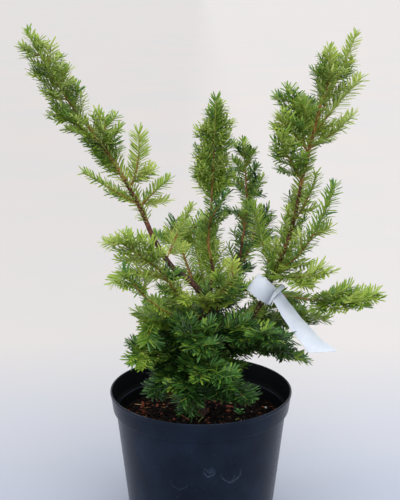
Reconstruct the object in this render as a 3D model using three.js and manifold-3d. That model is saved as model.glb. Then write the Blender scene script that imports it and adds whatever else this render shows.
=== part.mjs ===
// A dwarf japanese yew in a black nursery pot.
// Millimetres, +Z up. The origin is the centre of the pot's flat underside, and the plant's front is -Y.
import * as THREE from "three";
import { mergeVertices } from "three/addons/utils/BufferGeometryUtils.js";
import Module from "manifold-3d";

const wasm = await Module();
wasm.setup();

// Pot and soil
const POT_HEIGHT = 185;
const LIP_RADIUS = 112.5;
const LIP_ROUNDING = 0.8;
const BAND_HEIGHT = 24;
const BAND_FOOT_RADIUS = 109;
const SHOULDER_RADIUS = 105.5;
const BASE_RADIUS = 87.5;
const BASE_ROUNDING = 3;
const POT_WALL = 2;
const POT_FLOOR = 3;
const POT_SIDES = 48;
const SOIL_TOP = 150;
const SOIL_EDGE_DROP = 4;
const SOIL_FLAT_RADIUS = 45;
const BAND_FOOT = POT_HEIGHT - BAND_HEIGHT;
const POT_MOUTH = SHOULDER_RADIUS - POT_WALL - 2;

// Trunk, boughs and stems
const GAP = 0.3;
const HOST_MARGIN = 1.25 * GAP;
const SLIVER = 0.02;
const TRUNK_PATH = [[-3, 1, 196], [4, 0, 250], [10, 2, 300]];
const TRUNK_FOOT = [-4, 2, SOIL_TOP + GAP];
const TRUNK_RADII = [7.5, 4.6];
const TRUNK_SIDES = 12;
const FLARE = 5;
const FLARE_FADE = 9;
const FLARE_LOBES = 4;
const FLARE_DEPTH = 0.45;
const BOUGH_SIDES = 6;
const BOUGH_STEP = 22;

// Foliage
const TWIG_SIDES = 3;
const TWIG_TWIST = 0.75;
const STEM_RADII = [2.2, 1.4];
const TWIG_RADII = [0.95, 0.75];
const NEEDLE_STEP = 9;
const NEEDLE_LENGTH = 20;
const NEEDLE_SIZES = [0.85, 1.1];
const NEEDLE_LEANS = [0.62, 0.87];
const TIP_LEAN = 0.3;
const NEEDLE_ROOM = [2.6, 0.4];
const BARE_FOOT = 7;
const TWIG_SPAN = [0.2, 0.88];
const TWIG_SIZES = [0.9, 1.1];
const TWIG_SHORTENING = 0.45;
const TWIG_LEAN = 0.85;
const TWIG_ROLLS = [-0.7, 0.7];
const TWIG_SAG = 0.08;
const TWIG_TRIM = 0.8;
const SHORTEST_TWIG = 14;
const STEEP = 0.6;

// Room: how far foliage keeps from limbs, from other masses and from stems
const LIMB_CLEARANCE = 1;
const MASS_CLEARANCE = 1.5;
const STEM_CLEARANCE = 7;
const BALL_SPACING = 4;

// Label
const LABEL_WIDTH = 25;
const LABEL_THICKNESS = 0.8;
const LABEL_STEPS = 30;
const LABEL_PARTS = [-0.46, -0.28, -0.1, 0.1, 0.28, 0.46];
const LOOP_STEP = 30;
const LOOP_CLEARANCE = 3.4;
const TAIL_TWIST = [0.36, 0.56];
const END_SLANT = 0.89;
const SLANT_FROM = 0.86;

const COLOURS = {
  pot: [0x1a2029, 0.42],
  soil: [0x2a211b, 0.95],
  bark: [0x5b3a2a, 0.85],
  foliage: [0x4c6b2c, 0.6],
  label: [0xf2f3f1, 0.5],
};

// Each bough: where its foot stands on its host, from 0 at the host's foot to 1 at its tip,
// the points it passes through, and its radius at foot and tip
const BOUGHS = {
  bough_left: {
    host: "trunk", at: 0.95, radii: [3.8, 1.8],
    path: [
      [-11, -5, 323], [-33, -10, 342], [-52, -20, 374], [-74, -31, 427], [-106, -42, 487], [-127, -48, 518],
    ],
  },
  bough_right: {
    host: "trunk", at: 0.5, radii: [3.4, 1.6],
    path: [[40, -8, 252], [66, -12, 287], [86, -5, 329], [107, -5, 386], [121, -5, 458], [139, 0, 536]],
  },
  bough_centre: {
    host: "trunk", at: 1, radii: [2.2, 1.4],
    path: [[14, 10, 333], [9, 17, 366], [12, 19, 402]],
  },
  bough_centre_right: {
    host: "trunk", at: 0.88, radii: [2.1, 1.3],
    path: [[41, 25, 320], [52, 38, 369], [57, 46, 400]],
  },
  bough_right_low: {
    host: "trunk", at: 0.8, radii: [2.2, 1.5],
    path: [[41, 6, 306], [75, 9, 310], [107, -4, 304], [129, -14, 304]],
  },
  bough_left_low: {
    host: "trunk", at: 0.78, radii: [2, 1.3],
    path: [[-25, -28, 312], [-48, -40, 348]],
  },
  bough_left_front: {
    host: "trunk", at: 0.62, radii: [1.8, 1.2],
    path: [[-28, -28, 286], [-46, -42, 300], [-62, -57, 318]],
  },
  bough_back_left: {
    host: "trunk", at: 0.85, radii: [2, 1.3],
    path: [[-12, 35, 318], [-26, 62, 352]],
  },
  bough_back_right: {
    host: "trunk", at: 0.72, radii: [2, 1.3],
    path: [[36, 48, 304], [60, 78, 338]],
  },
  bough_back: {
    host: "trunk", at: 0.78, radii: [2, 1.3],
    path: [[4, 44, 306], [-4, 76, 334]],
  },
};

// Each mass of foliage: its bough and where on it its stem stands, the stem's middle and tip,
// how many twigs it bears and how long the first of them is
const MASSES = {
  left_top: ["bough_left", 1, [-154, -56, 558], [-188, -65, 622], 7, 30],
  left_out: ["bough_left", 0.93, [-134, -54, 516], [-160, -60, 536], 2, 20],
  left_in: ["bough_left", 0.9, [-109, -42, 512], [-109, -40, 526], 2, 16],
  left_fork: ["bough_left", 0.68, [-73, -33, 470], [-71, -28, 507], 3, 22],
  left_inner: ["bough_left", 0.58, [-57, -28, 436], [-38, -22, 452], 3, 20],
  left_reach: ["bough_left", 0.6, [-93, -46, 440], [-131, -63, 468], 3, 18],
  left_low: ["bough_left_low", 1, [-63, -48, 362], [-95, -59, 389], 4, 28],
  left_droop: ["bough_left_low", 0.84, [-74, -60, 351], [-99, -70, 342], 2, 16],
  left_front: ["bough_left_front", 1, [-72, -66, 332], [-88, -80, 358], 3, 24],
  centre_left: ["bough_left", 0.3, [-30, 0, 378], [-11, 2, 415], 2, 16],
  centre_top: ["bough_centre", 1, [15, 26, 470], [18, 32, 540], 9, 30],
  centre_in: ["bough_centre", 0.8, [14, 8, 402], [32, 4, 430], 3, 18],
  centre_right_top: ["bough_centre_right", 1, [55, 54, 445], [52, 64, 484], 7, 30],
  centre_right_curl: ["bough_centre_right", 0.85, [42, 30, 402], [20, 18, 400], 3, 24],
  light_shoot: ["bough_right", 0.41, [78, 14, 356], [64, 22, 410], 3, 20],
  right_top: ["bough_right", 1, [148, 0, 566], [147, 0, 600], 5, 26],
  right_crown: ["bough_right", 0.94, [160, 5, 570], [177, 8, 614], 4, 18],
  right_out_high: ["bough_right", 0.9, [160, -4, 540], [184, 2, 566], 2, 16],
  right_out_low: ["bough_right", 0.86, [150, -14, 503], [172, -26, 527], 2, 16],
  right_in_high: ["bough_right", 0.92, [110, 8, 530], [100, 13, 554], 5, 26],
  right_dark: ["bough_right", 0.88, [127, 24, 510], [120, 42, 534], 4, 26],
  right_in_mid: ["bough_right", 0.84, [105, -10, 506], [88, -20, 524], 4, 22],
  right_in_low: ["bough_right", 0.74, [103, -20, 474], [88, -32, 506], 3, 22],
  right_foot: ["bough_right", 0.6, [126, -18, 432], [132, -32, 460], 2, 18],
  right_side: ["bough_right", 0.42, [124, -32, 377], [152, -45, 448], 5, 24],
  right_arch: ["bough_right", 0.4, [118, -44, 341], [148, -72, 354], 6, 26],
  right_low: ["bough_right_low", 1, [168, -32, 309], [206, -52, 316], 7, 30],
  back_left: ["bough_back_left", 1, [-34, 72, 352], [-40, 86, 366], 5, 30],
  back_right: ["bough_back_right", 1, [68, 96, 358], [72, 108, 386], 6, 32],
  back: ["bough_back", 1, [-8, 94, 350], [-8, 104, 370], 5, 32],
  heart_left: ["trunk", 0.88, [-5, -22, 306], [-20, -50, 312], 4, 28],
  heart_right: ["trunk", 0.92, [27, -12, 317], [43, -17, 339], 4, 26],
  right_under: ["trunk", 0.62, [80, 6, 270], [148, -18, 283], 8, 34],
};

// The skirt of low foliage: tiers of stems that fan out from the trunk, each arching over
const SKIRT = [
  {
    name: "skirt_front", at: 0.3, first: 204, turn: 48, count: 3,
    radius: 72, rise: 18, fall: 0, twigs: 5, reach: 34,
  },
  {
    name: "skirt_low", at: 0.34, first: 200, turn: 72, count: 5,
    radius: 103, rise: 38, fall: 32, twigs: 6, reach: 38,
  },
  {
    name: "skirt_high", at: 0.55, first: 78, turn: 60, count: 5,
    radius: 99, rise: 42, fall: 34, twigs: 6, reach: 38,
  },
];
const SKIRT_SHIFT = 20;
const SKIRT_SIZES = [0.94, 1.06];

// Label: a flattened loop that hangs tilted on the back of the right bough, and then the tail
const LOOP_AT = 0.34;
const LOOP_HALF = [16.5, 10];
const LOOP_SHIFT = 5.5;
const LOOP_TILT = -0.28;
const LOOP_TURN = [-150, 150];
const TAIL_PATH = [
  [89.5, -28, 313], [102, -33, 296], [113.5, -38, 281], [124.5, -44, 269], [134.5, -50, 259], [144, -56, 252.5],
];
const TAIL_END_ACROSS = [0.06, 0.74, 0.67];

const random = (() => {
  let state = 2024;
  return () => {
    state = (state * 1664525 + 1013904223) % 4294967296;
    return state / 4294967296;
  };
})();

// A seeded value within a range
const anyOf = ([low, high]) => low + (high - low) * random();

const pointOf = (numbers) => new THREE.Vector3(...numbers);

// A closed geometry as a solid that can be joined and cut
function solidOf(geometry) {
  const bare = geometry.clone();
  bare.deleteAttribute("normal");
  bare.deleteAttribute("uv");
  const merged = mergeVertices(bare, 1e-4);
  return new wasm.Manifold(new wasm.Mesh({
    numProp: 3,
    vertProperties: new Float32Array(merged.attributes.position.array),
    triVerts: new Uint32Array(merged.index.array),
  }));
}

// The largest body of a solid, with its slivers closed up, as a geometry
function geometryOf(solid) {
  const bodies = solid.simplify(SLIVER).decompose().sort((one, other) => other.volume() - one.volume());
  const mesh = bodies[0].getMesh();
  const geometry = new THREE.BufferGeometry();
  geometry.setAttribute("position", new THREE.BufferAttribute(new Float32Array(mesh.vertProperties), 3));
  geometry.setIndex(new THREE.BufferAttribute(new Uint32Array(mesh.triVerts), 1));
  geometry.computeVertexNormals();
  return geometry;
}

const group = new THREE.Group();

function addNode(name, geometry, kind) {
  const [color, roughness] = COLOURS[kind];
  const material = new THREE.MeshStandardMaterial({ color, roughness, metalness: 0, flatShading: true });
  const mesh = new THREE.Mesh(geometry, material);
  mesh.name = name;
  group.add(mesh);
}

// Balls along every limb, stem and label strip, which tell whose space a point lies in
const balls = [];

function addBalls(owner, twig, curve, radius) {
  const count = Math.ceil(curve.getLength() / BALL_SPACING);
  for (let i = 0; i <= count; i += 1) {
    balls.push({ owner, twig, solid: radius > 0, centre: curve.getPointAt(i / count), radius });
  }
}

// Whether a ball of a given size clears the pot, the soil and everything that isn't foliage
function clearsSolids(point, size) {
  const radial = Math.hypot(point.x, point.y);
  const room = size + LIMB_CLEARANCE;
  if (point.z < SOIL_TOP + room) return false;
  if (point.z < POT_HEIGHT + room && radial > POT_MOUTH - room) return false;
  return balls.every((ball) => !ball.solid || ball.centre.distanceTo(point) > ball.radius + room);
}

// Whether a ball of a given size stays nearer to its own twig than to any other
function staysHome(point, size, owner, twig) {
  let own = Infinity;
  let kin = Infinity;
  let other = Infinity;
  balls.forEach((ball) => {
    if (ball.solid) return;
    const distance = ball.centre.distanceTo(point);
    if (ball.owner !== owner) other = Math.min(other, distance);
    else if (ball.twig === twig) own = Math.min(own, distance);
    else kin = Math.min(kin, distance);
  });
  return other > Math.min(own, kin) + 2 * size + MASS_CLEARANCE && kin > own + size;
}

const nearestStem = (point) => Math.min(...balls.map((ball) => (
  ball.solid ? Infinity : ball.centre.distanceTo(point))));

// A limb: a cylinder laid along a curve, with a radius that may change along it and round it,
// and with its two ends drawn out by a given length
function limbGeometry(curve, radiusAt, sides, steps, longer) {
  const geometry = new THREE.CylinderGeometry(1, 1, 1, sides, steps);
  const frames = curve.computeFrenetFrames(steps, false);
  const { position } = geometry.attributes;
  for (let i = 0; i < position.count; i += 1) {
    const step = Math.round((position.getY(i) + 0.5) * steps);
    const x = position.getX(i);
    const z = position.getZ(i);
    const radius = radiusAt(step / steps, Math.atan2(z, x));
    const point = curve.getPointAt(step / steps);
    if (step === 0) point.addScaledVector(frames.tangents[0], -longer);
    if (step === steps) point.addScaledVector(frames.tangents[steps], longer);
    point.addScaledVector(frames.normals[step], x * radius);
    point.addScaledVector(frames.binormals[step], -z * radius);
    position.setXYZ(i, point.x, point.y, point.z);
  }
  return geometry;
}

const limbs = {};

function addLimb(name, curve, radii, sides, flare) {
  const steps = Math.ceil(curve.getLength() / BOUGH_STEP) + 1;
  const taper = (along, angle) => {
    const height = along * curve.getLength();
    const root = flare * Math.exp(-height / FLARE_FADE) * (1 + FLARE_DEPTH * Math.cos(FLARE_LOBES * angle));
    return THREE.MathUtils.lerp(radii[0], radii[1], along) + root;
  };
  const wider = (along, angle) => taper(along, angle) + HOST_MARGIN;
  const grown = limbGeometry(curve, wider, sides, steps, HOST_MARGIN);
  const geometry = limbGeometry(curve, taper, sides, steps, 0);
  limbs[name] = { curve, radii, solid: solidOf(geometry), grown: solidOf(grown) };
}

function addTrunk() {
  const curve = new THREE.CatmullRomCurve3([TRUNK_FOOT, ...TRUNK_PATH].map(pointOf));
  addLimb("trunk", curve, TRUNK_RADII, TRUNK_SIDES, FLARE);
  addBalls("trunk", 0, curve, TRUNK_RADII[0]);
  const flat = new THREE.BoxGeometry(100, 100, 20).translate(0, 0, SOIL_TOP + GAP - 10);
  addNode("trunk", geometryOf(limbs.trunk.solid.subtract(solidOf(flat))), "bark");
}

function addBough(name, { host, at, radii, path }) {
  const foot = limbs[host].curve.getPointAt(at);
  const curve = new THREE.CatmullRomCurve3([foot, ...path.map(pointOf)]);
  addLimb(name, curve, radii, BOUGH_SIDES, 0);
  addBalls(name, 0, curve, radii[0]);
  addNode(name, geometryOf(limbs[name].solid.subtract(limbs[host].grown)), "bark");
}

// A twig of three faces that ends in a point, with a needle drawn out of each face that has room for one
function sprayGeometry(curve, radii, bare, fits) {
  const length = curve.getLength();
  const steps = Math.max(2, Math.round(length / NEEDLE_STEP));
  const frames = curve.computeFrenetFrames(steps, false);
  const vertices = [];
  const faces = [];
  const corner = (step, side) => step * TWIG_SIDES + (side % TWIG_SIDES);
  for (let step = 0; step <= steps; step += 1) {
    const radius = THREE.MathUtils.lerp(radii[0], radii[1], step / steps);
    for (let side = 0; side < TWIG_SIDES; side += 1) {
      const angle = (side * 2 * Math.PI) / TWIG_SIDES + step * TWIG_TWIST;
      const point = curve.getPointAt(step / steps);
      point.addScaledVector(frames.normals[step], Math.cos(angle) * radius);
      point.addScaledVector(frames.binormals[step], Math.sin(angle) * radius);
      vertices.push(point);
    }
  }
  faces.push([0, 2, 1]);
  for (let step = 0; step < steps; step += 1) {
    const tangent = frames.tangents[step];
    const axis = curve.getPointAt((step + 0.5) / steps);
    for (let side = 0; side < TWIG_SIDES; side += 1) {
      const ring = [
        corner(step, side), corner(step, side + 1), corner(step + 1, side + 1), corner(step + 1, side),
      ];
      const middle = new THREE.Vector3();
      ring.forEach((index) => middle.addScaledVector(vertices[index], 0.25));
      const outward = middle.clone().sub(axis).normalize();
      const lean = anyOf(NEEDLE_LEANS) + (TIP_LEAN * step) / steps;
      const reach = NEEDLE_LENGTH * anyOf(NEEDLE_SIZES);
      const needle = outward.multiplyScalar(Math.cos(lean) * reach);
      needle.addScaledVector(tangent, Math.sin(lean) * reach);
      if ((step + 0.5) * (length / steps) > bare && fits(middle, needle)) {
        const point = vertices.push(middle.clone().add(needle)) - 1;
        ring.forEach((index, turn) => faces.push([index, ring[(turn + 1) % 4], point]));
      } else {
        faces.push([ring[0], ring[1], ring[2]], [ring[0], ring[2], ring[3]]);
      }
    }
  }
  const end = vertices.push(curve.getPointAt(1).addScaledVector(frames.tangents[steps], NEEDLE_STEP)) - 1;
  for (let side = 0; side < TWIG_SIDES; side += 1) {
    faces.push([corner(steps, side), corner(steps, side + 1), end]);
  }
  const geometry = new THREE.BufferGeometry().setFromPoints(vertices);
  return geometry.setIndex(faces.flat());
}

const bowed = (foot, via, tip) => new THREE.QuadraticBezierCurve3(
  foot,
  via.clone().multiplyScalar(2).addScaledVector(foot, -0.5).addScaledVector(tip, -0.5),
  tip,
);

// The twigs of a mass alternate left and right of its stem and shorten towards its tip
function twigCurves(name, stem, twigs, reach) {
  const curves = [];
  for (let i = 0; i < twigs; i += 1) {
    const at = THREE.MathUtils.lerp(...TWIG_SPAN, i / (twigs - 1));
    const foot = stem.getPointAt(at);
    const tangent = stem.getTangentAt(at);
    const upright = Math.abs(tangent.z) > STEEP;
    const across = tangent.clone().cross(upright ? new THREE.Vector3(0, -1, 0) : new THREE.Vector3(0, 0, 1));
    across.normalize().multiplyScalar(i % 2 ? -1 : 1).applyAxisAngle(tangent, anyOf(TWIG_ROLLS));
    const heading = across.multiplyScalar(Math.cos(TWIG_LEAN)).addScaledVector(tangent, Math.sin(TWIG_LEAN));
    let length = reach * (1 - (TWIG_SHORTENING * i) / twigs) * anyOf(TWIG_SIZES);
    while (length > SHORTEST_TWIG) {
      const tip = foot.clone().addScaledVector(heading, length);
      const via = foot.clone().lerp(tip, 0.5).addScaledVector(tangent, -TWIG_SAG * length);
      const curve = bowed(foot, via, tip);
      const open = [0.5, 0.75, 1].every((t) => {
        const point = curve.getPointAt(t);
        return clearsSolids(point, 2 * TWIG_RADII[0]) && nearestStem(point) > STEM_CLEARANCE;
      });
      if (open) {
        curves.push(curve);
        addBalls(name, curves.length, curve, 0);
        break;
      }
      length *= TWIG_TRIM;
    }
  }
  return curves;
}

// First every stem and twig takes its place, and then the needles fill the room between them
const crown = [];

function placeMass(name, [hostName, at, via, tip, twigs, reach]) {
  const host = limbs[hostName];
  const foot = host.curve.getPointAt(at);
  if (at === 1) foot.addScaledVector(host.curve.getTangentAt(1), -1);
  const stem = bowed(foot, pointOf(via), pointOf(tip));
  addBalls(name, 0, stem, 0);
  crown.push({ name, host, stem, twigs, reach });
}

function placeTwigs(mass) {
  mass.curves = twigCurves(mass.name, mass.stem, mass.twigs, mass.reach);
}

function growMass({ name, host, stem, curves }) {
  const fitsBy = (twig) => (foot, needle) => [0, 0.35, 0.7, 1].every((part) => {
    const point = foot.clone().addScaledVector(needle, part);
    const size = THREE.MathUtils.lerp(...NEEDLE_ROOM, part);
    return clearsSolids(point, size) && staysHome(point, size, name, twig);
  });
  let solid = solidOf(sprayGeometry(stem, STEM_RADII, BARE_FOOT, fitsBy(0)));
  curves.forEach((curve, i) => {
    solid = solid.add(solidOf(sprayGeometry(curve, TWIG_RADII, BARE_FOOT, fitsBy(i + 1))));
  });
  addNode(name, geometryOf(solid.subtract(host.grown)), "foliage");
}

function placeSkirt({ name, at, first, turn, count, radius, rise, fall, twigs, reach }) {
  for (let i = 0; i < count; i += 1) {
    const angle = THREE.MathUtils.degToRad(first + turn * i);
    const out = radius * anyOf(SKIRT_SIZES);
    const foot = limbs.trunk.curve.getPointAt(at);
    const x = Math.cos(angle);
    const y = Math.sin(angle);
    const via = [foot.x + (x * out) / 2, foot.y + (y * out) / 2, foot.z + rise];
    const tip = [foot.x + x * out + SKIRT_SHIFT, foot.y + y * out, foot.z + fall];
    placeMass(`${name}_${i + 1}`, ["trunk", at, via, tip, twigs, reach]);
  }
}

function addPot() {
  const profile = [
    [0, 0],
    [BASE_RADIUS - BASE_ROUNDING, 0],
    [BASE_RADIUS, BASE_ROUNDING],
    [SHOULDER_RADIUS, BAND_FOOT],
    [BAND_FOOT_RADIUS, BAND_FOOT],
    [LIP_RADIUS, POT_HEIGHT - LIP_ROUNDING],
    [LIP_RADIUS - LIP_ROUNDING, POT_HEIGHT],
    [LIP_RADIUS - POT_WALL, POT_HEIGHT],
    [BAND_FOOT_RADIUS - POT_WALL, BAND_FOOT + POT_WALL],
    [SHOULDER_RADIUS - POT_WALL, BAND_FOOT - POT_WALL],
    [BASE_RADIUS - POT_WALL, POT_FLOOR],
    [0, POT_FLOOR],
  ].map(([x, y]) => new THREE.Vector2(x, y));
  addNode("pot", new THREE.LatheGeometry(profile, POT_SIDES).rotateX(Math.PI / 2), "pot");
}

function addSoil() {
  const edge = SOIL_TOP - SOIL_EDGE_DROP;
  const footRadius = BASE_RADIUS - POT_WALL - 2 * GAP;
  const filled = (edge - POT_FLOOR) / (BAND_FOOT - POT_WALL - POT_FLOOR);
  const edgeRadius = footRadius + filled * (SHOULDER_RADIUS - BASE_RADIUS);
  const profile = [
    [0, POT_FLOOR + GAP],
    [footRadius, POT_FLOOR + GAP],
    [edgeRadius, edge],
    [SOIL_FLAT_RADIUS, SOIL_TOP],
    [0, SOIL_TOP],
  ].map(([x, y]) => new THREE.Vector2(x, y));
  addNode("soil", new THREE.LatheGeometry(profile, POT_SIDES).rotateX(Math.PI / 2), "soil");
}

// The label strip: a thin box laid along the loop and the tail, its width along the loop's axis
// until the tail, which twists more and more and ends on a slant
function addLabel() {
  const { curve, radii } = limbs.bough_right;
  const axis = curve.getTangentAt(LOOP_AT);
  const front = new THREE.Vector3(0, -1, 0);
  front.addScaledVector(axis, -front.dot(axis)).normalize();
  axis.applyAxisAngle(front, LOOP_TILT);
  const side = front.clone().cross(axis);
  const slack = LOOP_HALF[1] - THREE.MathUtils.lerp(...radii, LOOP_AT) - LOOP_CLEARANCE;
  const middle = curve.getPointAt(LOOP_AT).addScaledVector(front, slack).addScaledVector(side, LOOP_SHIFT);
  const route = [];
  for (let angle = LOOP_TURN[0]; angle <= LOOP_TURN[1]; angle += LOOP_STEP) {
    const turn = THREE.MathUtils.degToRad(angle);
    const point = middle.clone().addScaledVector(side, LOOP_HALF[0] * Math.cos(turn));
    route.push(point.addScaledVector(front, LOOP_HALF[1] * Math.sin(turn)));
  }
  const path = new THREE.CatmullRomCurve3([...route, ...TAIL_PATH.map(pointOf)]);
  const strip = (t) => {
    const tangent = path.getTangentAt(t);
    const twist = THREE.MathUtils.smoothstep(t, ...TAIL_TWIST);
    const wide = axis.clone().lerp(pointOf(TAIL_END_ACROSS), twist);
    wide.addScaledVector(tangent, -wide.dot(tangent)).normalize();
    const thick = tangent.clone().cross(wide);
    wide.addScaledVector(tangent, END_SLANT * THREE.MathUtils.smoothstep(t, SLANT_FROM, 1));
    return { centre: path.getPointAt(t), wide, thick };
  };
  const geometry = new THREE.BoxGeometry(LABEL_WIDTH, LABEL_THICKNESS, 1, 1, 1, LABEL_STEPS);
  const { position } = geometry.attributes;
  for (let i = 0; i < position.count; i += 1) {
    const { centre, wide, thick } = strip(position.getZ(i) + 0.5);
    const point = centre.addScaledVector(wide, position.getX(i)).addScaledVector(thick, position.getY(i));
    position.setXYZ(i, point.x, point.y, point.z);
  }
  for (let i = 0; i <= 2 * LABEL_STEPS; i += 1) {
    LABEL_PARTS.forEach((part) => {
      const { centre, wide } = strip(i / (2 * LABEL_STEPS));
      const ball = { centre: centre.addScaledVector(wide, part * LABEL_WIDTH), radius: LABEL_WIDTH / 10 };
      balls.push({ owner: "label", twig: 0, solid: true, ...ball });
    });
  }
  addNode("label", geometryOf(solidOf(geometry)), "label");
}

addPot();
addSoil();
addTrunk();
Object.entries(BOUGHS).forEach(([name, bough]) => addBough(name, bough));
addLabel();
Object.entries(MASSES).forEach(([name, mass]) => placeMass(name, mass));
SKIRT.forEach(placeSkirt);
crown.forEach(placeTwigs);
crown.forEach(growMass);

export default group;
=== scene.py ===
"""A dwarf japanese yew in a black nursery pot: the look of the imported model.

Lengths are in millimetres until a mesh is made, and the front of the plant is -Y.
"""
import math
from collections import namedtuple

import bpy
import numpy as np
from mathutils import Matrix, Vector, noise


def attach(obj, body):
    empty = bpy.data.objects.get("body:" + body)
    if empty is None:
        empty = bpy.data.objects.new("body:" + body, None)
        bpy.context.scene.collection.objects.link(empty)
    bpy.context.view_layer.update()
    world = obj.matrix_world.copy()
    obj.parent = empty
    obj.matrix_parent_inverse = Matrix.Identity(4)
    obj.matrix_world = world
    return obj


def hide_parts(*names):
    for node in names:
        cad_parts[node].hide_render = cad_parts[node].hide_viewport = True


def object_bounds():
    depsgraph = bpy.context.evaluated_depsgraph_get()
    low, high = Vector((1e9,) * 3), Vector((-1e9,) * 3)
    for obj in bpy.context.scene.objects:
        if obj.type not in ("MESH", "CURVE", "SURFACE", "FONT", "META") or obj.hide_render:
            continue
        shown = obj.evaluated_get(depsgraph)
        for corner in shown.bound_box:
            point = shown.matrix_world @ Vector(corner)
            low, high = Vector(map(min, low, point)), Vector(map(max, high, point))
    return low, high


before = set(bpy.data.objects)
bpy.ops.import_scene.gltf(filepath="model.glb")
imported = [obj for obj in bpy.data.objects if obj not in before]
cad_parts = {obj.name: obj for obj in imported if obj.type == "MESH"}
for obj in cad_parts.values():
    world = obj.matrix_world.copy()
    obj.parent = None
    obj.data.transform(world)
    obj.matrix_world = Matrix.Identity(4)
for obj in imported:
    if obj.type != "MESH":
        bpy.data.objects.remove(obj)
cad_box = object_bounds()

MM = 0.001

# The photograph's camera
CAMERA_AT = (-1.2, -1232.5, 680.4)
CAMERA_PITCH = 14.482
CAMERA_LENS = 76.25
SENSOR = 36.0

# Pot and soil, as in the solids
POT_HEIGHT = 185
LIP_RADIUS = 112.5
BAND_HEIGHT = 24
BAND_FOOT_RADIUS = 109
SHOULDER_RADIUS = 105.5
BASE_RADIUS = 87.5
POT_WALL = 2
POT_FLOOR = 3
SOIL_TOP = 150
SOIL_EDGE_DROP = 4
SOIL_FLAT_RADIUS = 45
BAND_FOOT = POT_HEIGHT - BAND_HEIGHT
POT_MOUTH = SHOULDER_RADIUS - POT_WALL - 2

# Their finer shape: sides and steps, the first row of faces inside the pot, and the rows of an edge
# in there that shines like the outside
POT_SIDES = 192
CORNER_STEPS = 4
INSIDE_ROW = 34
EDGE_ROWS = (41, 43)
SOIL_RINGS = 56
SOIL_SIDES = 160

# The soil's unevenness: height, frequency and place in the noise of each kind of wave, and over what
# distance from the wall they grow, from what share
SOIL_WAVES = ((1.6, 0.06, 1), (1.3, 0.16, 5), (0.8, 0.45, 9))
WAVES_GROW = 4
WAVES_LEAST = 0.2

# Limbs, as in the solids
GAP = 0.3
TRUNK_FOOT = (-4, 2, SOIL_TOP + GAP)
TRUNK_PATH = [(-3, 1, 196), (4, 0, 250), (10, 2, 300)]
TRUNK_RADII = (7.5, 4.6)
FLARE = 5
FLARE_FADE = 9
FLARE_LOBES = 4
FLARE_DEPTH = 0.45

# Bark: the rings or step, sides and depth of relief of the trunk and of the boughs
TRUNK_RINGS = 90
TRUNK_SIDES = 40
TRUNK_BARK = 0.9
BOUGH_STEP = 2.2
BOUGH_SIDES = 16
BOUGH_BARK = 0.34

# Its relief: how far the noise goes round a limb, and each kind's share and frequencies round and along
BARK_GIRTH = 1.7
RIDGES = (0.9, 2, 0.09)
FLAKES = (0.5, 5, 0.35)
KNOTS = (0.8, 1, 0.12)

# Where along a long or a short bough the bark turns red, and then orange
LONG_BOUGH = 130
LONG_BANDS = (0.42, 0.72)
SHORT_BANDS = (0.15, 0.45)

# The rule for twigs, as in the solids
TWIG_RADIUS = 0.95
TWIG_SPAN = (0.2, 0.88)
TWIG_SIZES = (0.9, 1.1)
TWIG_SHORTENING = 0.45
TWIG_LEAN = 0.85
TWIG_ROLLS = (-0.7, 0.7)
TWIG_SAG = 0.08
TWIG_TRIM = 0.8
SHORTEST_TWIG = 14
STEEP = 0.6
LIMB_CLEARANCE = 1
STEM_CLEARANCE = 7
BALL_SPACING = 4

# Stems, twigs and finer twigs: radius at foot and tip, sides, how much of each is brown, and the foot
# without needles, which a stem has only on the side of its bough
SHOOT_RADII = ((1.25, 0.7), (0.8, 0.55), (0.65, 0.45))
SHOOT_SIDES = (8, 6, 6)
SHOOT_BROWN = (0.55, 0.35, 0)
SHOOT_BARE = (7, 2.5, 1)
SHOOT_STEP = 5

# Finer twigs: the length of shoot for one, and then their share and their reach on stems and on twigs
FINE_STEP = 15
FINE_SHARES = (1, 0.7)
FINE_REACHES = (27.5, 17.6)
FINE_SPAN = (0.12, 0.9)
FULL_TWIGS = 1.3
FINE_SHORTEST = 9
FINE_SHORTENING = 0.65
FINE_CLEARANCE = 7.5

# Needles: their sizes, the two rings of each by place and width, how they stand and differ, how many
# go into a piece, and how far their tips may pass the solids' box
NEEDLE_SPACING = 0.6
NEEDLE_LENGTH = 15.5
NEEDLE_WIDTH = 2.05
NEEDLE_THICK = 0.16
NEEDLE_RINGS = ((0.12, 0.85), (0.8, 0.95))
NEEDLE_UP = (0.05, -0.25, 1.0)
NEEDLE_LEAN = (0.5, 0.7)
LEAN_SPREAD = 0.1
TIP_SPREAD = 0.6
TIP_FROM = 0.95
FINE_LENGTH = 0.9
LENGTH_SPAN = (0.88, 1.1)
WIDTH_SPAN = (0.85, 1.1)
BEND_SPAN = (-0.16, 0.05)
GOLDEN = 2.39996
MOST_NEEDLES = 15000
BOX_MARGIN = 8

# How flat a shoot's needles lie in two ranks, by how steep it is and within what span; how much they
# flatten and rise there; how unevenly they are placed, turned and twisted; how their length swells from
# a shoot's foot to its tip; what is taken off the clearance of a needle's tip and its middle, and where
# on the needle that is
RANKED = (1.3, 1.1)
RANKED_SPAN = (0.4, 0.9)
RANK_FLAT = 0.75
RANK_RISE = 0.3
PLACE_SPREAD = 0.4
ANGLE_SPREAD = 0.3
TWIST_SPREAD = 0.15
LENGTH_SWELL = (0.72, 0.38, 0.1, 0.76)
NEEDLE_NEAR = (-0.4, -0.6)
NEEDLE_MIDDLE = 0.55

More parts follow.
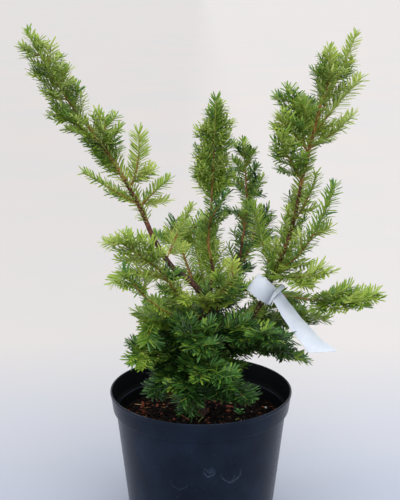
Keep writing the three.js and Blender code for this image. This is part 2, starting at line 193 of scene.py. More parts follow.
# Each bough: where its foot stands on the trunk, its radius at foot and tip, the part of it below its
# needles, their mix of tones, how full of twigs it is there, its needles' size, and its points
BOUGHS = {
    "bough_left": (0.95, (3.8, 1.8), 0.5, "fresh", 5.4, 1, [
        (-11, -5, 323), (-33, -10, 342), (-52, -20, 374), (-74, -31, 427), (-106, -42, 487),
        (-127, -48, 518)]),
    "bough_right": (0.5, (3.4, 1.6), 0.16, "middle", 1.5, 0.85, [
        (40, -8, 252), (66, -12, 287), (86, -5, 329), (107, -5, 386), (121, -5, 458), (139, 0, 536)]),
    "bough_centre": (1, (2.2, 1.4), 0.15, "middle", 2.2, 0.8, [
        (14, 10, 333), (9, 17, 366), (12, 19, 402)]),
    "bough_centre_right": (0.88, (2.1, 1.3), 0.35, "shade", 1.1, 0.75, [
        (41, 25, 320), (52, 38, 369), (57, 46, 400)]),
    "bough_right_low": (0.8, (2.2, 1.5), 0.3, "middle", 2.4, 1, [
        (41, 6, 306), (75, 9, 310), (107, -4, 304), (129, -14, 304)]),
    "bough_left_low": (0.78, (2, 1.3), 0.3, "middle", 2.1, 1, [(-25, -28, 312), (-48, -40, 348)]),
    "bough_left_front": (0.62, (1.8, 1.2), 0.3, "middle", 1, 1, [
        (-28, -28, 286), (-46, -42, 300), (-62, -57, 318)]),
    "bough_back_left": (0.85, (2, 1.3), 0.3, "middle", 1, 1, [(-12, 35, 318), (-26, 62, 352)]),
    "bough_back_right": (0.72, (2, 1.3), 0.3, "middle", 1, 1, [(36, 48, 304), (60, 78, 338)]),
    "bough_back": (0.78, (2, 1.3), 0.3, "middle", 1, 1, [(4, 44, 306), (-4, 76, 334)]),
}

# Each mass of foliage: the bough it grows on and where, the middle and tip of its stem, how many
# twigs it bears, how long the first of them is, its mix of tones, how full of finer twigs it is, and
# its needles' size
MASSES = {
    "left_top": ("bough_left", 1, (-154, -56, 558), (-188, -65, 622), 7, 30, "fresh", 2.8, 0.8),
    "left_out": ("bough_left", 0.93, (-134, -54, 516), (-160, -60, 536), 2, 20, "fresh", 2.6, 0.8),
    "left_in": ("bough_left", 0.9, (-109, -42, 512), (-109, -40, 526), 2, 16, "fresh", 2, 0.8),
    "left_fork": ("bough_left", 0.68, (-73, -33, 470), (-71, -28, 507), 3, 22, "warm", 0.5, 1),
    "left_inner": ("bough_left", 0.58, (-57, -28, 436), (-38, -22, 452), 3, 20, "warm", 0.4, 0.85),
    "left_reach": ("bough_left", 0.6, (-93, -46, 440), (-131, -63, 468), 3, 18, "warm", 0.25, 0.82),
    "left_low": ("bough_left_low", 1, (-63, -48, 362), (-95, -59, 389), 4, 28, "light", 1.8, 1),
    "left_droop": ("bough_left_low", 0.84, (-74, -60, 351), (-99, -70, 342), 2, 16, "warm", 0.1, 1),
    "left_front": ("bough_left_front", 1, (-72, -66, 332), (-88, -80, 358), 3, 24, "fresh", 0.9, 1),
    "centre_left": ("bough_left", 0.3, (-30, 0, 378), (-11, 2, 415), 2, 16, "light", 0.2, 0.68),
    "centre_top": ("bough_centre", 1, (15, 26, 470), (18, 32, 540), 9, 30, "mild", 4.4, 0.84),
    "centre_in": ("bough_centre", 0.8, (14, 8, 402), (32, 4, 430), 3, 18, "shade", 0.5, 0.8),
    "centre_right_top": ("bough_centre_right", 1, (55, 54, 445), (52, 64, 484), 7, 30, "shade", 2, 0.7),
    "centre_right_curl": (
        "bough_centre_right", 0.85, (42, 30, 402), (20, 18, 400), 3, 24, "shade", 0.9, 0.74),
    "light_shoot": ("bough_right", 0.41, (78, 14, 356), (64, 22, 410), 3, 20, "light", 0.4, 1),
    "right_top": ("bough_right", 1, (148, 0, 566), (147, 0, 600), 5, 26, "light", 2.8, 0.82),
    "right_crown": ("bough_right", 0.94, (160, 5, 570), (177, 8, 614), 4, 18, "fresh", 1.8, 0.85),
    "right_out_high": ("bough_right", 0.9, (160, -4, 540), (184, 2, 566), 2, 16, "fresh", 0.3, 1),
    "right_out_low": ("bough_right", 0.86, (150, -14, 503), (172, -26, 527), 2, 16, "fresh", 0.3, 1),
    "right_in_high": ("bough_right", 0.92, (110, 8, 530), (100, 13, 554), 5, 26, "fresh", 2.5, 0.84),
    "right_dark": ("bough_right", 0.88, (127, 24, 510), (120, 42, 534), 4, 26, "middle", 2.6, 0.76),
    "right_in_mid": ("bough_right", 0.84, (105, -10, 506), (88, -20, 524), 4, 22, "fresh", 2.5, 0.86),
    "right_in_low": ("bough_right", 0.74, (103, -20, 474), (88, -32, 506), 3, 22, "middle", 2.1, 0.86),
    "right_foot": ("bough_right", 0.6, (126, -18, 432), (132, -32, 460), 2, 18, "middle", 0.4, 0.85),
    "right_side": ("bough_right", 0.42, (124, -32, 377), (152, -45, 448), 5, 24, "light", 0.25, 1),
    "right_arch": ("bough_right", 0.4, (118, -44, 341), (148, -72, 354), 6, 26, "warm", 0.7, 1.15),
    "right_low": ("bough_right_low", 1, (168, -32, 309), (206, -52, 316), 7, 30, "fresh", 1.8, 1),
    "back_left": ("bough_back_left", 1, (-34, 72, 352), (-40, 86, 366), 5, 30, "middle", 1.4, 1),
    "back_right": ("bough_back_right", 1, (68, 96, 358), (72, 108, 386), 6, 32, "middle", 1.4, 1),
    "back": ("bough_back", 1, (-8, 94, 350), (-8, 104, 370), 5, 32, "middle", 1.4, 1),
    "heart_left": ("trunk", 0.88, (-5, -22, 306), (-20, -50, 312), 4, 28, "heart", 1.6, 0.85),
    "heart_right": ("trunk", 0.92, (27, -12, 317), (43, -17, 339), 4, 26, "heart", 1.6, 0.8),
    "right_under": ("trunk", 0.62, (80, 6, 270), (148, -18, 283), 8, 34, "shade", 2.2, 1),
}

# Boughs whose twigs are short at the foot and longer towards the tip: the first one's reach, and how
# much the twigs shorten
BOUGH_TWIGS = {"bough_left": (12.5, -0.7)}

# The skirt's tiers: name, where on the trunk, first angle, turn, count, radius, rise, fall, twigs, reach
SKIRT = [
    ("skirt_front", 0.3, 204, 48, 3, 72, 18, 0, 5, 34),
    ("skirt_low", 0.34, 200, 72, 5, 103, 38, 32, 6, 38),
    ("skirt_high", 0.55, 78, 60, 5, 99, 42, 34, 6, 38),
]
SKIRT_SHIFT = 20
SKIRT_FULLNESS = 3
SKIRT_EDGE = 52
EDGE_SIDE = -30
# Below this height a skirt shoot takes the darkest mix, as painted shade
LOW_SKIRT = 206
SKIRT_SIZES = (0.94, 1.06)

# Label
LABEL_WIDTH = 25
LABEL_PARTS = (-0.46, -0.28, -0.1, 0.1, 0.28, 0.46)
LABEL_STEPS = 30
LOOP_STEP = 30
LOOP_CLEARANCE = 3.4
LOOP_AT = 0.34
LOOP_HALF = (16.5, 10)
LOOP_SHIFT = 5.5
LOOP_TILT = -0.28
LOOP_TURN = (-150, 150)
TAIL_TWIST = (0.36, 0.56)
TAIL_PATH = [
    (89.5, -28, 313), (102, -33, 296), (113.5, -38, 281), (124.5, -44, 269), (134.5, -50, 259),
    (144, -56, 252.5)]
TAIL_END_ACROSS = (0.06, 0.74, 0.67)
END_SLANT = 0.89
SLANT_FROM = 0.86

# Its finer shape: the strip's section by width and thickness, how it is pinched at the slit, and the
# slit's raised lip, which goes across the strip
RIBBON_STEPS = 300
STRIP_SECTION = (
    (-0.5, -0.1), (-0.49, -0.25), (0.49, -0.25), (0.5, -0.1),
    (0.5, 0.1), (0.49, 0.25), (-0.49, 0.25), (-0.5, 0.1))
PINCH = 0.42
PINCH_SPREADS = (0.09, 0.04)
LIP_STEPS = 20
LIP_SECTION = ((-1, 0), (-0.8, 0.35), (0.8, 0.35), (1, 0), (0.8, -0.2), (-0.8, -0.2))
LIP_SPAN = (-0.52, 0.62)
LIP_HALF = (1.2, 3.9)
LIP_RISE = 0.8
LIP_BULGE = 2.6

# Faint water marks low on the pot's front: the centre of each, its size and how strongly it shows, the
# width and waviness of their lines and their colour; and drops of water on the pot's side
WATER_MARKS = [
    ((13, -98, 125), 6.5, 0.24), ((14, -98, 128), 4.5, 0.14), ((12, -98, 131), 5, 0.12),
    ((40, -91, 121), 12.5, 0.2), ((37, -92, 118), 8.5, 0.12), ((-24, -96, 110), 11, 0.08),
]
MARK_WIDTH = 1.5
MARK_RIPPLE = (7, 7, 9)
MARK_COLOUR = (104, 122, 144)
DROPS = 420
DROP_SIZES = (0.3, 0.75)
DROP_HEIGHTS = (12, BAND_FOOT - 4)
DROP_SHAPE = (1.3, 1, 0.55)

# What lies on the soil: colour as sRGB, roughness, and specular level where it isn't the usual one
BITS = {
    "chip_dark": ((28, 18, 14), 0.9, 0.15),
    "chip_brown": ((72, 42, 28), 0.85, 0.25),
    "chip_red": ((142, 64, 36), 0.8),
    "chip_tan": ((220, 178, 132), 0.85),
    "chip_orange": ((214, 122, 62), 0.85),
    "crumb_black": ((14, 10, 8), 0.95, 0.15),
    "needle_old": ((122, 146, 44), 0.5),
    "needle_dry": ((146, 104, 52), 0.7),
    "perlite": ((226, 226, 220), 0.7),
    "seedling_green": ((92, 178, 74), 0.5),
}
# What is strewn over it: how many, from what length, width and height to what, how much they tilt, how
# high they lie in parts of their own height, and their colours
STREWN = {
    "soil_crumbs": (2600, ((1, 3.4), (1, 2.8), (0.8, 2.2)), 0.6, 0.15, "crumb_black soil_dark chip_dark"),
    "bark_chips": (420, ((2, 8), (1, 3), (0.6, 1.6)), 0.35, 0.35,
                   "chip_dark chip_brown crumb_black chip_dark chip_red"),
    "bark_slivers": (150, ((4, 12), (0.5, 1.1), (0.4, 0.8)), 0.25, 0.6,
                     "chip_brown chip_red chip_brown chip_dark"),
}
STREWN_INSET = 4
STREWN_LEAST = 0.003
STREWN_ROUGH = 0.45
TRUNK_CLEARANCE = 13

# The chips and needles that stand out in the photograph, by their two ends, width and look; how high
# the two ends lie; and how thick chips and needles are
LYING_LOOKS = "chip_tan chip_red chip_brown chip_orange chip_dark needle_old needle_dry".split()
LYING = [
    ((-86, 37), (-75, 31), 2.2, "chip_tan"), ((-71, 41), (-57, 54), 3.2, "chip_brown"),
    ((-71, 36), (-67, 33), 3.4, "chip_red"), ((-63, 29), (-60, 27), 3, "chip_red"),
    ((-49, 30), (-46, 27), 3, "chip_orange"), ((-26, -5), (-13, -24), 1.8, "chip_red"),
    ((-22, -8), (-30, -22), 1.4, "chip_dark"), ((71, 7), (75, 3), 3, "chip_red"),
    ((34, 36), (41, 30), 2, "chip_tan"), ((-4, -28), (4, -10), 1.9, "needle_old"),
    ((92, 30), (86, 24), 1.8, "chip_red"), ((-80, 18), (-70, 12), 1.6, "chip_red"),
]
LYING_RISE = (1.4, 1.8)
LYING_THICK = (1, 0.5)
# Fallen needles and small beads of perlite: how many, within what radius, and the share of that circle
# that stays free round its middle
FALLEN = (26, 92, 0.05)
FALLEN_LENGTHS = (9, 15)
FALLEN_WIDTH = 1.7
PERLITE = (14, 96, 0.1)
PERLITE_SIZES = (0.4, 0.8)
PERLITE_BEAD = (82.5, 22, 1.75)
BEAD_RISE = 1.2
BEAD_SHAPE = (1.15, 1, 0.9)

# Seedling by the rim: its place, how many leaves, how high and far out the first one stands, how much
# farther out and lower each next one does, and half a stalk's width and a leaf's three sizes
SEEDLING_AT = (48.3, -3.1)
SEEDLING_LEAVES = 7
SEEDLING_HEIGHT = 7
SEEDLING_OUT = 1.4
SEEDLING_STEP = 0.5
SEEDLING_STALK = 0.3
SEEDLING_LEAF = (2.3, 1.9, 0.25)

# Floor, in metres: its size, its colours near and far as sRGB, where along Y they change and along X
# it gets lighter towards the right as a painted pool of light, and its stains
FLOOR_SIZE = 90
FLOOR_SINK = 0.0002
FLOOR_TINTS = ((164, 170, 185), (192, 188, 186))
FLOOR_FADE = (0.0, 0.7)
PAINTED_LIGHT_SPAN = (-0.1, 0.25)
PAINTED_FLOOR_LIGHT = (1.09, 1.09, 1.09, 1)
FLOOR_STAINS = {"Scale": 1.7, "Detail": 5, "Roughness": 0.65}
FLOOR_WASH = ((0.94, 0.96, 0.98, 1), (1.0, 0.975, 0.96, 1))

# Sky and lamps: the sky's strength by how far a view of it turns to the back and up, and each lamp's
# place, aim, power and colour, in metres
SKY_COLOUR = (0.95, 0.97, 1.0, 1)
SKY_BACK = (-0.75, -0.1, 0.98, 1.1)
SKY_UP = (0.1, 0.8, 0.0, 1.1)
SUN = ((0.35, -0.9, 2.2), (0, 0, 0.3), 1.5, (1.0, 0.98, 0.94))
SUN_ANGLE = 50
WINDOWS = {
    "left_window": ((-1.6, -0.3, 0.6), (0, 0, 0.12), 7.6, (0.8, 0.9, 1.0)),
    "right_window": ((1.7, -0.5, 0.6), (0, 0, 0.12), 4.0, (0.8, 0.9, 1.0)),
}
WINDOW_SIZE = (0.4, 0.9)

# Needle tones: the colour above and the colour beneath, as sRGB
TONES = {
    "deep": ((28, 58, 18), (58, 90, 36)),
    "dark": ((70, 113, 47), (120, 154, 76)),
    "green": ((110, 144, 45), (154, 178, 80)),
    "bright": ((139, 164, 55), (178, 194, 96)),
    "pale": ((154, 174, 78), (186, 200, 120)),
    "young": ((172, 186, 80), (198, 208, 116)),
}

# How many needles of a shoot are a tone darker, its own tone, or a tone lighter
TONE_DRIFT = (0.24, 0.56, 0.2)
# Each mix: how many of its shoots have each tone, in the order above
MIXES = {
    # low and skirt lean on the deep tone as painted shade of the lower skirt, partly the darker tone of
    # old inner needles
    "low": (0.96, 0.04, 0, 0, 0, 0),
    "skirt": (0.42, 0.5, 0.08, 0, 0, 0),
    "edge": (0, 0.3, 0.45, 0.25, 0, 0),
    "shade": (0, 0.45, 0.45, 0.1, 0, 0),
    "middle": (0, 0.06, 0.42, 0.34, 0.18, 0),
    "mild": (0, 0.02, 0.25, 0.4, 0.33, 0),
    "fresh": (0, 0, 0.3, 0.45, 0.25, 0),
    "light": (0, 0, 0.1, 0.4, 0.5, 0),
    "warm": (0, 0, 0, 0.38, 0.44, 0.18),
    "heart": (0, 0.36, 0.34, 0.14, 0.08, 0.08),
}


def seeded(state):
    """Numbers from 0 to 1 in a fixed order."""
    while True:
        state = (state * 1664525 + 1013904223) % 4294967296
        yield state / 4294967296


rule = seeded(2024)


def any_of(span, numbers):
    """A seeded value within a range."""
    return span[0] + (span[1] - span[0]) * next(numbers)


def mix(low, high, part):
    return low + (high - low) * part


def polar(radial, angle):
    return radial * math.cos(angle), radial * math.sin(angle)


def unit(vectors):
    return vectors / np.maximum(np.linalg.norm(vectors, axis=-1, keepdims=True), 1e-9)


def turned(vector, axis, angle):
    """A vector turned about an axis."""
    axis = unit(axis)
    along = axis * np.dot(axis, vector)
    return along + (vector - along) * math.cos(angle) + np.cross(axis, vector) * math.sin(angle)


class Path:
    """A line through closely spaced points, read by its length from 0 to 1."""

    def __init__(self, points):
        self.points = np.asarray(points, float)
        steps = np.linalg.norm(np.diff(self.points, axis=0), axis=1)
        self.run = np.concatenate([[0], np.cumsum(steps)])
        self.length = self.run[-1]

    def at(self, part):
        distance = np.asarray(part, float) * self.length
        return np.stack([np.interp(distance, self.run, self.points[:, k]) for k in range(3)], axis=-1)

    def heading(self, part):
        part = np.asarray(part, float)
        return unit(self.at(np.minimum(part + 0.01, 1)) - self.at(np.maximum(part - 0.01, 0)))


def smooth_path(points, steps=24):
    """A centripetal Catmull-Rom line through a few points."""
    points = np.asarray(points, float)
    points = np.vstack([2 * points[0] - points[1], points, 2 * points[-1] - points[-2]])
    weight = np.linspace(0, 1, steps, endpoint=False)[:, None]
    made = []
    for before, start, end, after in zip(points, points[1:], points[2:], points[3:]):
        gaps = [np.linalg.norm(b - a) ** 0.5 for a, b in ((before, start), (start, end), (end, after))]
        leave = (start - before) / gaps[0] - (end - before) / (gaps[0] + gaps[1]) + (end - start) / gaps[1]
        arrive = (end - start) / gaps[1] - (after - start) / (gaps[1] + gaps[2]) + (after - end) / gaps[2]
        leave, arrive = leave * gaps[1], arrive * gaps[1]
        square = -3 * start + 3 * end - 2 * leave - arrive
        cube = 2 * start - 2 * end + leave + arrive
        made.append(start + leave * weight + square * weight ** 2 + cube * weight ** 3)
    return Path(np.vstack(made + [points[-2][None]]))


def bowed(foot, via, tip, steps=20):
    """A curve from foot to tip that passes through via."""
    foot, via, tip = (np.asarray(p, float) for p in (foot, via, tip))
    pull = 2 * via - 0.5 * foot - 0.5 * tip
    t = np.linspace(0, 1, steps + 1)[:, None]
    return Path(foot * (1 - t) ** 2 + 2 * pull * t * (1 - t) + tip * t ** 2)


# What is solid, and where stems run, as balls
solid_balls = []
stem_balls = []


def add_balls(path, radius):
    count = math.ceil(path.length / BALL_SPACING)
    centres = path.at(np.arange(count + 1) / count)
    if radius > 0:
        solid_balls.extend((*centre, radius) for centre in centres)
    else:
        stem_balls.extend(centres)


def clears_solids(points, size):
    """Whether balls of a given size clear the pot, the soil and everything that isn't foliage."""
    points = np.atleast_2d(points)
    balls = np.asarray(solid_balls)
    room = size + LIMB_CLEARANCE
    radial = np.hypot(points[:, 0], points[:, 1])
    clear = points[:, 2] >= SOIL_TOP + room
    clear &= ~((points[:, 2] < POT_HEIGHT + room) & (radial > POT_MOUTH - room))
    apart = np.linalg.norm(points[:, None] - balls[None, :, :3], axis=2) - balls[None, :, 3]
    return clear & (apart.min(axis=1) > room)


def nearest_stem(points):
    apart = np.atleast_2d(points)[:, None] - np.asarray(stem_balls)[None]
    return np.linalg.norm(apart, axis=2).min(axis=1)


# Trunk and boughs
def trunk_radius(path, along, angle):
    lobes = 1 + FLARE_DEPTH * np.cos(FLARE_LOBES * angle)
    return mix(*TRUNK_RADII, along) + FLARE * np.exp(-along * path.length / FLARE_FADE) * lobes


limbs = {"trunk": (smooth_path([TRUNK_FOOT, *TRUNK_PATH]), TRUNK_RADII)}
add_balls(limbs["trunk"][0], TRUNK_RADII[0])
for name, (at, radii, *_, points) in BOUGHS.items():
    path = smooth_path([limbs["trunk"][0].at(at), *points])
    limbs[name] = (path, radii)
    add_balls(path, radii[0])


# Label: a flattened loop on the right bough, and then the tail
def label_path():
    path, radii = limbs["bough_right"]
    axis = path.heading(LOOP_AT)
    front = np.array([0, -1.0, 0])
    front = unit(front - axis * np.dot(front, axis))
    axis = turned(axis, front, LOOP_TILT)
    side = np.cross(front, axis)
    slack = LOOP_HALF[1] - mix(*radii, LOOP_AT) - LOOP_CLEARANCE
    middle = path.at(LOOP_AT) + front * slack + side * LOOP_SHIFT
    turns = np.radians(np.arange(LOOP_TURN[0], LOOP_TURN[1] + 1, LOOP_STEP))
    ring = [middle + side * LOOP_HALF[0] * math.cos(t) + front * LOOP_HALF[1] * math.sin(t) for t in turns]
    return smooth_path([*ring, *TAIL_PATH]), axis


def label_section(path, axis, part):
    """The strip's middle, its width direction and its thickness direction at a part of its length."""
    tangent = path.heading(part)
    twist = np.clip((part - TAIL_TWIST[0]) / (TAIL_TWIST[1] - TAIL_TWIST[0]), 0, 1)
    wide = mix(axis, np.asarray(TAIL_END_ACROSS), twist * twist * (3 - 2 * twist))
    wide = unit(wide - tangent * np.dot(wide, tangent))
    slant = np.clip((part - SLANT_FROM) / (1 - SLANT_FROM), 0, 1)
    skewed = wide + tangent * END_SLANT * slant * slant * (3 - 2 * slant)
    return path.at(part), skewed, np.cross(tangent, wide)


label_line, label_axis = label_path()
for i in range(2 * LABEL_STEPS + 1):
    middle, wide, _ = label_section(label_line, label_axis, i / (2 * LABEL_STEPS))
    solid_balls.extend((*(middle + wide * part * LABEL_WIDTH), LABEL_WIDTH / 10) for part in LABEL_PARTS)

# Shoots: each stem, twig and finer twig, of level 0, 1 or 2, and the needled part of each bough
Shoot = namedtuple("Shoot", "path level bare mass tones fullness size")
shoots = []


def grow(shoot):
    """Keeps a shoot; in the skirt it is darkest low down, painted shade that is partly the darker tone of
    old inner needles, and lighter where it reaches out on the left.
    """
    if shoot.mass.startswith("skirt"):
        x, y, z = shoot.path.at(0.8)
        edge = math.hypot(x - TRUNK_FOOT[0], y) > SKIRT_EDGE and x < EDGE_SIDE
        # Painted shade: the lowest skirt shoots take the darkest mix
        shoot = shoot._replace(tones="low" if z < LOW_SKIRT else "edge" if edge else "skirt")
    shoots.append(shoot)
    return shoot


def twig_headings(tangent, i, numbers):
    """The way a twig leaves its stem: left and right by turns."""
    steep = abs(tangent[2]) > STEEP
    across = unit(np.cross(tangent, (0, -1.0, 0) if steep else (0, 0, 1.0)))
    across = turned(across * (-1 if i % 2 else 1), tangent, any_of(TWIG_ROLLS, numbers))
    return across * math.cos(TWIG_LEAN) + tangent * math.sin(TWIG_LEAN)


def place_twigs(shoot, twigs, reach, shortest, clearance, numbers,
                span=TWIG_SPAN, shorter=TWIG_SHORTENING):
    """Twigs alternate left and right of a stem and shorten towards its tip."""
    made = []
    for i in range(twigs):
        at = mix(*span, i / max(1, twigs - 1))
        foot, tangent = shoot.path.at(at), shoot.path.heading(at)
        heading = twig_headings(tangent, i, numbers)
        length = reach * (1 - shorter * i / twigs) * any_of(TWIG_SIZES, numbers)
        while length > shortest:
            tip = foot + heading * length
            curve = bowed(foot, mix(foot, tip, 0.5) - tangent * TWIG_SAG * length, tip, 10)
            seen = curve.at([0.5, 0.75, 1])
            if clears_solids(seen, 2 * TWIG_RADIUS).all() and (nearest_stem(seen) > clearance).all():
                made.append(curve)
                add_balls(curve, 0)
                break
            length *= TWIG_TRIM
    return made


grown = []


def place_mass(name, host, at, via, tip, twigs, reach, *looks):
    """The stem of a mass, which goes on from its bough's tip or leaves the side of a limb."""
    path = bowed(limbs[host][0].at(at), via, tip)
    add_balls(path, 0)
    stem = Shoot(path, 0, 0 if at == 1 else SHOOT_BARE[0], name, *looks)
    grown.append((grow(stem), twigs, reach))


for name, mass in MASSES.items():
    place_mass(name, *mass)
for name, at, first, turn, count, radius, rise, fall, twigs, reach in SKIRT:
    foot = limbs["trunk"][0].at(at)
    for i in range(count):
        x, y = polar(radius * any_of(SKIRT_SIZES, rule), math.radians(first + turn * i))
        via = foot + (x / 2, y / 2, rise)
        tip = foot + (x + SKIRT_SHIFT, y, fall)
        place_mass(f"{name}_{i + 1}", "trunk", at, via, tip, twigs, reach, "skirt", SKIRT_FULLNESS, 1)
masses = [shoot.mass for shoot, _, _ in grown]
for shoot, twigs, reach in grown:
    for curve in place_twigs(shoot, twigs, reach, SHORTEST_TWIG, STEM_CLEARANCE, rule):
        grow(shoot._replace(path=curve, level=1, bare=SHOOT_BARE[1]))

# Finer twigs fill the room that is left, by the same rule
fine_rule = seeded(77)
for name, (_, _, leafy, *looks, _) in BOUGHS.items():
    path = limbs[name][0]
    count = math.ceil(path.length * (1 - leafy) / BALL_SPACING)
    upper = Path(path.at(np.linspace(leafy, 1, count + 1)))
    grow(Shoot(upper, 0, 0, name, *looks))
    stem_balls.extend(upper.points)
for shoot in list(shoots):
    if shoot.level == 1 and shoot.fullness < FULL_TWIGS:
        continue
    count = round(shoot.fullness * shoot.path.length / FINE_STEP * FINE_SHARES[shoot.level])
    reach, shorter = BOUGH_TWIGS.get(shoot.mass, (FINE_REACHES[shoot.level], FINE_SHORTENING))
    clearance = FINE_CLEARANCE / max(1, shoot.fullness) ** 0.5
    made = place_twigs(shoot, count, reach, FINE_SHORTEST, clearance, fine_rule, FINE_SPAN, shorter)
    for curve in made:
        grow(shoot._replace(path=curve, level=2, bare=SHOOT_BARE[2]))


# Meshes
def new_object(name, vertices, faces, materials, kinds=None, smooth=True):
    """An object from vertices in mm, faces, its materials, and each face's kind of material."""
    mesh = bpy.data.meshes.new(name)
    mesh.from_pydata(np.asarray(vertices, float) * MM, [], faces)
    for material in materials:
        mesh.materials.append(material)
    if kinds is not None:
        mesh.polygons.foreach_set("material_index", np.asarray(kinds, np.int32))
    mesh.polygons.foreach_set("use_smooth", np.full(len(faces), smooth))
    mesh.validate()
    made = bpy.data.objects.new(name, mesh)
    bpy.context.scene.collection.objects.link(made)
    return made


class Heap:
    """Many small meshes put into one."""

    def __init__(self):
        self.vertices, self.faces, self.kinds, self.count = [], [], [], 0

    def add(self, vertices, faces, kinds=0):
        vertices, faces = np.asarray(vertices, float), np.asarray(faces, int)
        self.vertices.append(vertices)
        self.faces.append(faces + self.count)
        self.kinds.append(np.broadcast_to(kinds, len(faces)))
        self.count += len(vertices)

    def make(self, name, slot, materials, *nodes, smooth=True):
        joined = new_object(name, np.vstack(self.vertices), np.vstack(self.faces), materials,
                            np.concatenate(self.kinds), smooth)
        return finish_piece(joined, slot, *nodes)


def finish_piece(piece, slot, *nodes):
    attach(piece, "root")
    if nodes:
        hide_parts(*nodes)
    return piece


def frames_along(path, parts):
    """Tangents and two directions across them that don't turn about the path."""
    tangents = path.heading(parts)
    across = [unit(np.cross(tangents[0], (0.31, -0.92, 0.24)))]
    for tangent in tangents[1:]:
        last = across[-1]
        across.append(unit(last - tangent * np.dot(last, tangent)))
    across = np.array(across)
    return tangents, across, np.cross(tangents, across)


def tube(path, parts, radii, sides, relief=None, point=1.5):
    """A closed tube along a path: radii at each part, moved out by relief, ending in a short point."""
    parts, radii = np.asarray(parts, float), np.asarray(radii, float)
    centres = path.at(parts)
    tangents, across, over = frames_along(path, parts)
    angles = np.arange(sides) * 2 * math.pi / sides
    rings = radii[:, None] if radii.ndim == 1 else radii
    rings = np.broadcast_to(rings, (len(parts), sides)).copy()
    if relief is not None:
        rings += relief(parts, angles, rings)
    points = centres[:, None] + rings[..., None] * (
        np.cos(angles)[None, :, None] * across[:, None] + np.sin(angles)[None, :, None] * over[:, None])
    vertices = np.vstack([points.reshape(-1, 3), centres[0] - tangents[0] * 0.2,
                          centres[-1] + tangents[-1] * point * rings[-1].mean()])
    near, far = len(vertices) - 2, len(vertices) - 1
    ring = np.arange(sides)
    after = (ring + 1) % sides
    faces, along = [], []
    for i in range(len(parts) - 1):
        low, high = i * sides, (i + 1) * sides
        faces.append(np.stack([low + ring, low + after, high + after], 1))
        faces.append(np.stack([low + ring, high + after, high + ring], 1))
        along.append(np.full(2 * sides, parts[i]))
    last = (len(parts) - 1) * sides
    faces.append(np.stack([after, ring, np.full(sides, near)], 1))
    faces.append(np.stack([last + ring, last + after, np.full(sides, far)], 1))
    along += [np.zeros(sides), np.ones(sides)]
    return vertices, np.vstack(faces), np.concatenate(along)


def loft(sections):
    """A closed bar with flat ends, through sections of equal numbers of points."""
    sides = len(sections[0])
    last = (len(sections) - 1) * sides
    faces = []
    for low in range(0, last, sides):
        faces += [[low + k, low + (k + 1) % sides, low + (k + 1) % sides + sides, low + k + sides]
                  for k in range(sides)]
    faces.append(list(range(sides))[::-1])
    faces.append([last + k for k in range(sides)])
    return np.vstack(sections), faces


# Materials
def srgb(*values):
    """An opaque colour given in sRGB, 0 to 255, as linear light."""
    return (*(v / 255 / 12.92 if v <= 10 else ((v / 255 + 0.055) / 1.055) ** 2.4 for v in values), 1)


def material(name, colour, roughness, gloss=0.5):
    """A material of one colour, given in sRGB."""
    made = bpy.data.materials.new(name)
    made.use_nodes = True
    shader = made.node_tree.nodes["Principled BSDF"]
    shader.inputs["Base Color"].default_value = srgb(*colour)
    shader.inputs["Roughness"].default_value = roughness
    shader.inputs["Specular IOR Level"].default_value = gloss
    return made


def wired(tree, kind, inputs, **settings):
    """A new shader node: its inputs, each a value or the socket that feeds it, and its settings."""
    made = tree.nodes.new("ShaderNode" + kind)
    for key, value in settings.items():
        setattr(made, key, value)
    for key, value in inputs.items():
        if isinstance(value, bpy.types.NodeSocket):
            tree.links.new(value, made.inputs[key])
        else:
            made.inputs[key].default_value = value
    return made


def figured(tree, operation, first, second=0.0):
    """A sum, product or the like of two numbers."""
    return wired(tree, "Math", {0: first, 1: second}, operation=operation).outputs["Value"]


def ranged(tree, value, start, end, low=0.0, high=1.0):
    """Where a number lies between start and end, as a number from low to high."""
    inputs = {"Value": value, "From Min": start, "From Max": end, "To Min": low, "To Max": high}
    return wired(tree, "MapRange", inputs).outputs["Result"]


def blended(tree, part, first, second, blend="MIX"):
    """Two colours mixed or multiplied."""
    inputs = {"Factor": part, "A": first, "B": second}
    return wired(tree, "Mix", inputs, data_type="RGBA", blend_type=blend).outputs["Result"]


def ramped(tree, part, low, high, colours):
    """Colours spread evenly between two heights of a noise."""
    ramp = wired(tree, "ValToRGB", {"Fac": part})
    stops = ramp.color_ramp.elements
    stops[0].position, stops[0].color = low, colours[0]
    stops[1].position, stops[1].color = high, colours[-1]
    for i, colour in enumerate(colours[1:-1]):
        stops.new(low + (high - low) * (i + 1) / (len(colours) - 1)).color = colour
    return ramp.outputs["Color"]


def mottle(name, roughness, gloss, colours, scale, bump=0, stretch=(1, 1, 1),
           low=0.35, high=0.65, fine=0):
    """A material of several sRGB colours in a noise, with a bump, in object coordinates."""
    made = material(name, colours[0], roughness, gloss)
    tree = made.node_tree
    shader = tree.nodes["Principled BSDF"]
    where = tree.nodes.new("ShaderNodeTexCoord").outputs["Object"]
    where = wired(tree, "Mapping", {"Vector": where, "Scale": stretch}).outputs["Vector"]
    grain = wired(tree, "TexNoise", {"Vector": where, "Scale": scale, "Detail": 6})
    colour = ramped(tree, grain.outputs["Fac"], low, high, [srgb(*colour) for colour in colours])
    tree.links.new(colour, shader.inputs["Base Color"])
    if fine:
        grain = wired(tree, "TexNoise", {"Vector": where, "Scale": fine, "Detail": 4})
    if bump:
        relief = wired(tree, "Bump", {
            "Strength": 0.6, "Distance": bump * MM, "Height": grain.outputs["Fac"]})
        tree.links.new(relief.outputs["Normal"], shader.inputs["Normal"])
    return made


